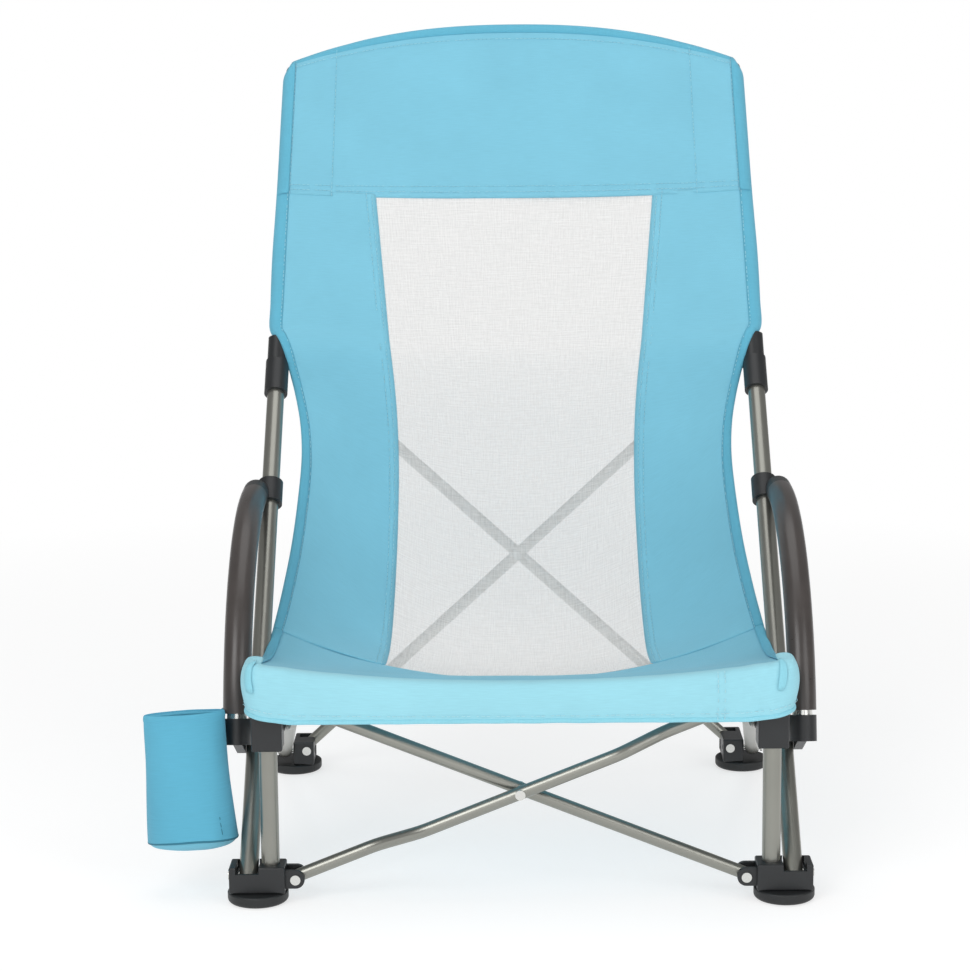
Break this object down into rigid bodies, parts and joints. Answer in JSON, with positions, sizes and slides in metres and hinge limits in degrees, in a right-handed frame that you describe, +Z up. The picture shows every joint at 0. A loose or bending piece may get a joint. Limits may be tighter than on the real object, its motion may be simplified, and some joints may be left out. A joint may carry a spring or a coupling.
{
  "type": "folding camp chair",
  "caption": "Low-slung high-back folding camp chair: crossed-tube frame on round feet, cloth sling with a mesh middle, bowed armrests and a hanging cup holder.",
  "frame": {"origin": "middle of the overall footprint, on the floor under the pads", "axes": "+Z up, +Y from the front of the seat to the back, +X to the right of someone who faces the chair"},
  "size_m": [0.676, 0.6779, 0.8498],
  "materials": {
    "grey_tube": "satin warm grey powder coat",
    "black_plastic": "moulded black plastic",
    "arm_coat": "satin dark bronze grey",
    "bright_steel": "bright zinc plated steel",
    "rubber_foot": "matt black rubber",
    "teal_cloth": "teal woven polyester",
    "mesh_cloth": "pale open mesh weave",
    "valance_cloth": "light blue woven polyester",
    "cup_cloth": "blue woven polyester"
  },
  "bodies": {
    "front_foot_left": {"front_foot_pad_left": "rubber_foot", "front_foot_socket_left": "black_plastic", "front_post_left": "grey_tube", "front_foot_pin_left": "bright_steel", "back_leg_pivot_left": "bright_steel"},
    "front_foot_right": {"front_foot_pad_right": "rubber_foot", "front_foot_socket_right": "black_plastic", "front_post_right": "grey_tube", "front_foot_pin_right": "bright_steel", "back_leg_pivot_right": "bright_steel"},
    "bowed_bar": {"front_cross_bar_bowed": "grey_tube", "front_cross_rivet": "bright_steel"},
    "straight_bar": {"front_cross_bar_straight": "grey_tube"},
    "hub_left": {"seat_hub_left": "black_plastic", "hub_pin_left": "bright_steel", "side_leg_bolt_left": "bright_steel", "seat_valance": "valance_cloth"},
    "hub_right": {"seat_hub_right": "black_plastic", "hub_pin_right": "bright_steel", "side_leg_bolt_right": "bright_steel"},
    "side_leg_left": {"side_leg_left": "grey_tube", "rear_foot_bolt_left": "bright_steel", "seat_sling": "mesh_cloth"},
    "side_leg_right": {"side_leg_right": "grey_tube", "rear_foot_bolt_right": "bright_steel"},
    "rear_foot_left": {"rear_foot_pad_left": "rubber_foot", "rear_foot_socket_left": "black_plastic", "rear_foot_pin_left": "bright_steel"},
    "rear_foot_right": {"rear_foot_pad_right": "rubber_foot", "rear_foot_socket_right": "black_plastic", "rear_foot_pin_right": "bright_steel"},
    "rear_bar_left": {"rear_cross_bar_left": "grey_tube", "rear_cross_rivet_left": "bright_steel"},
    "rear_bar_right": {"rear_cross_bar_right": "grey_tube", "rear_cross_rivet_right": "bright_steel"},
    "back_leg_left": {"back_leg_left": "grey_tube", "back_joint_left": "black_plastic", "back_joint_pin_left": "bright_steel", "back_pole_left": "grey_tube", "back_pole_cap_left": "black_plastic", "arm_rest_left": "arm_coat", "arm_stub_left": "bright_steel", "arm_lower_bracket_left": "black_plastic", "arm_upper_bracket_left": "black_plastic", "arm_pin_left": "bright_steel", "back_sling": "teal_cloth", "cup_holder": "cup_cloth", "cup_holder_strap": "cup_cloth"},
    "back_leg_right": {"back_leg_right": "grey_tube", "back_joint_right": "black_plastic", "back_joint_pin_right": "bright_steel", "back_pole_right": "grey_tube", "back_pole_cap_right": "black_plastic", "arm_rest_right": "arm_coat", "arm_stub_right": "bright_steel", "arm_lower_bracket_right": "black_plastic", "arm_upper_bracket_right": "black_plastic", "arm_pin_right": "bright_steel"}
  },
  "joints": [
    {"name": "fold", "type": "hinge", "parent": "front_foot_left", "child": "bowed_bar", "pos_m": [-0.179, -0.30899, 0.024], "axis": [0, -1, 0], "range_deg": [0, 58.29], "deforming": ["seat_sling", "seat_valance", "back_sling"]},
    {"name": "front_crossing", "type": "hinge", "parent": "bowed_bar", "child": "straight_bar", "pos_m": [0.042, -0.30899, 0.112], "axis": [0, -1, 0], "range_deg": [-116.63, 0]},
    {"name": "right_hub_pivot", "type": "hinge", "parent": "bowed_bar", "child": "hub_right", "pos_m": [0.263, -0.30899, 0.2], "axis": [0, -1, 0], "range_deg": [-58.34, 0]},
    {"name": "right_foot_pivot", "type": "hinge", "parent": "straight_bar", "child": "front_foot_right", "pos_m": [0.263, -0.30899, 0.024], "axis": [0, -1, 0], "range_deg": [0, 58.34]},
    {"name": "left_hub_pivot", "type": "hinge", "parent": "straight_bar", "child": "hub_left", "pos_m": [-0.179, -0.30899, 0.2], "axis": [0, -1, 0], "range_deg": [0, 58.34]},
    {"name": "left_side_leg_pivot", "type": "hinge", "parent": "hub_left", "child": "side_leg_left", "pos_m": [-0.1845, -0.28699, 0.178], "axis": [-1, 0, 0], "range_deg": [0, 60.09]},
    {"name": "left_rear_foot_pivot", "type": "hinge", "parent": "side_leg_left", "child": "rear_foot_left", "pos_m": [-0.2285, 0.13901, 0.026], "axis": [1, 0, 0], "range_deg": [0, 60.09]},
    {"name": "left_back_leg_pivot", "type": "hinge", "parent": "front_foot_left", "child": "back_leg_left", "pos_m": [-0.226, -0.30899, 0.026], "axis": [1, 0, 0], "range_deg": [0, 35.84]},
    {"name": "left_rear_bar_pivot", "type": "hinge", "parent": "rear_foot_left", "child": "rear_bar_left", "pos_m": [-0.202, 0.15701, 0.028], "axis": [0, -1, 0], "range_deg": [0, 36.41]},
    {"name": "right_side_leg_pivot", "type": "hinge", "parent": "hub_right", "child": "side_leg_right", "pos_m": [0.2685, -0.28699, 0.178], "axis": [-1, 0, 0], "range_deg": [0, 60.09]},
    {"name": "right_rear_foot_pivot", "type": "hinge", "parent": "side_leg_right", "child": "rear_foot_right", "pos_m": [0.3125, 0.13901, 0.026], "axis": [1, 0, 0], "range_deg": [0, 60.09]},
    {"name": "right_back_leg_pivot", "type": "hinge", "parent": "front_foot_right", "child": "back_leg_right", "pos_m": [0.31, -0.30899, 0.026], "axis": [1, 0, 0], "range_deg": [0, 35.84]},
    {"name": "right_rear_bar_pivot", "type": "hinge", "parent": "rear_foot_right", "child": "rear_bar_right", "pos_m": [0.286, 0.17101, 0.028], "axis": [0, 1, 0], "range_deg": [0, 36.41]}
  ],
  "couplings": [
    {"joint": "front_crossing", "follows": "fold", "ratio": -2},
    {"joint": "right_hub_pivot", "follows": "fold", "ratio": -1},
    {"joint": "right_foot_pivot", "follows": "fold", "ratio": 1},
    {"joint": "left_hub_pivot", "follows": "fold", "ratio": 1},
    {"joint": "left_side_leg_pivot", "follows": "fold", "ratio": 1.03},
    {"joint": "left_rear_foot_pivot", "follows": "fold", "ratio": 1.03},
    {"joint": "left_back_leg_pivot", "follows": "fold", "ratio": 0.614},
    {"joint": "left_rear_bar_pivot", "follows": "fold", "ratio": 0.6237},
    {"joint": "right_side_leg_pivot", "follows": "fold", "ratio": 1.03},
    {"joint": "right_rear_foot_pivot", "follows": "fold", "ratio": 1.03},
    {"joint": "right_back_leg_pivot", "follows": "fold", "ratio": 0.614},
    {"joint": "right_rear_bar_pivot", "follows": "fold", "ratio": 0.6237}
  ]
}
